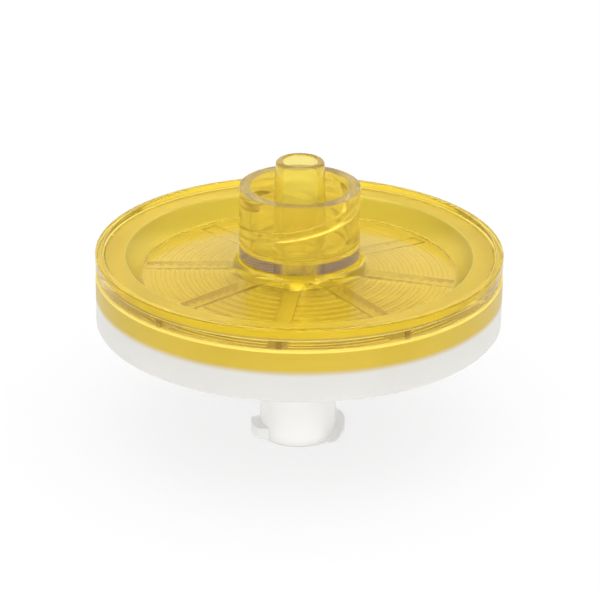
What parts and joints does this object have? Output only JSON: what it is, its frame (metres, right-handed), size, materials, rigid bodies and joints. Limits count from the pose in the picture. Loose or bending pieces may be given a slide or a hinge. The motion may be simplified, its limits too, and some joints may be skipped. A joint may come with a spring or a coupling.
{
  "type": "syringe filter",
  "caption": "Round syringe filter: a transparent yellow outlet half with a tapered tip in a threaded locking collar, on a hazy white inlet half with a lugged socket.",
  "frame": {"origin": "centre of the inlet mouth plane, the lowest face", "axes": "+Z along the flow axis from the inlet mouth to the outlet tip, -Y towards the viewer, +X to the viewer's right"},
  "size_m": [0.033, 0.033, 0.0239],
  "materials": {
    "yellow_plastic": "clear yellow plastic, polished",
    "hazy_plastic": "translucent natural plastic, satin",
    "membrane": "matt off-white membrane"
  },
  "bodies": {
    "root": {"outlet_housing": "yellow_plastic", "inlet_housing": "hazy_plastic", "membrane": "membrane"}
  },
  "joints": []
}
